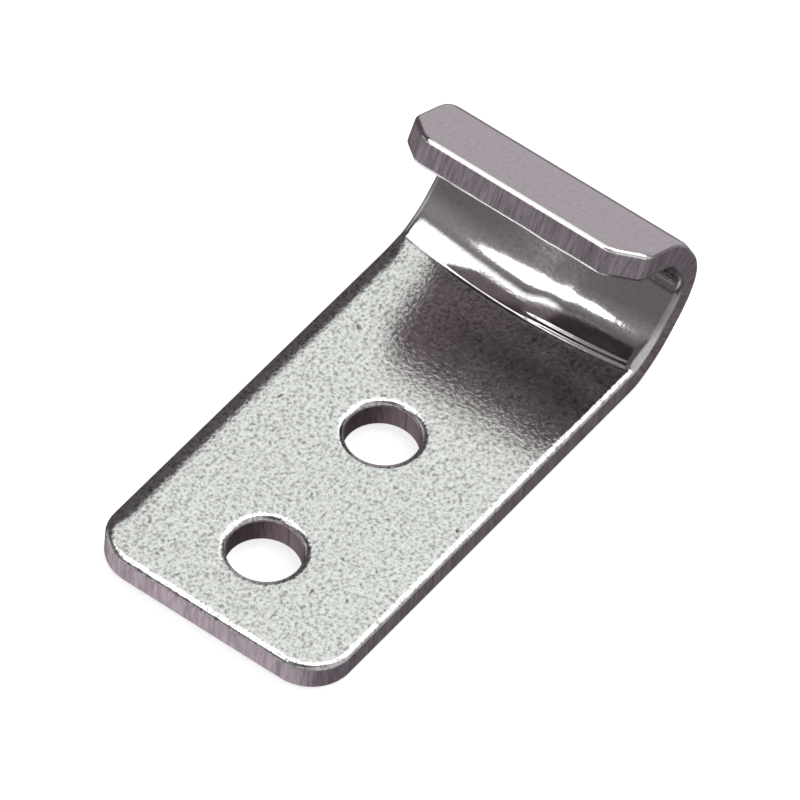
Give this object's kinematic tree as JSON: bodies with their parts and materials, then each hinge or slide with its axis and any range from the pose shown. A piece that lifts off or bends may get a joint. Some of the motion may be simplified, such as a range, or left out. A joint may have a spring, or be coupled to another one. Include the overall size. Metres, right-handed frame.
{
  "type": "hooked catch plate",
  "caption": "Flat stamped metal strip with screw holes, its far end bent up and folded back into a hook that a latch bar or bail pulls against.",
  "frame": {"origin": "centre of the two-hole screw pattern, on the plate's underside", "axes": "+X along the strip from the screw holes towards the hook, +Y across the strip, +Z out of the mounting surface; the hook's lip rises to +Z and points back to -X"},
  "size_m": [0.0321, 0.015, 0.0112],
  "materials": {
    "plated_steel": "bright zinc or nickel plate over stamped sheet steel, lightly mottled, semi-gloss"
  },
  "bodies": {
    "root": {"catch_plate": "plated_steel"}
  },
  "joints": []
}
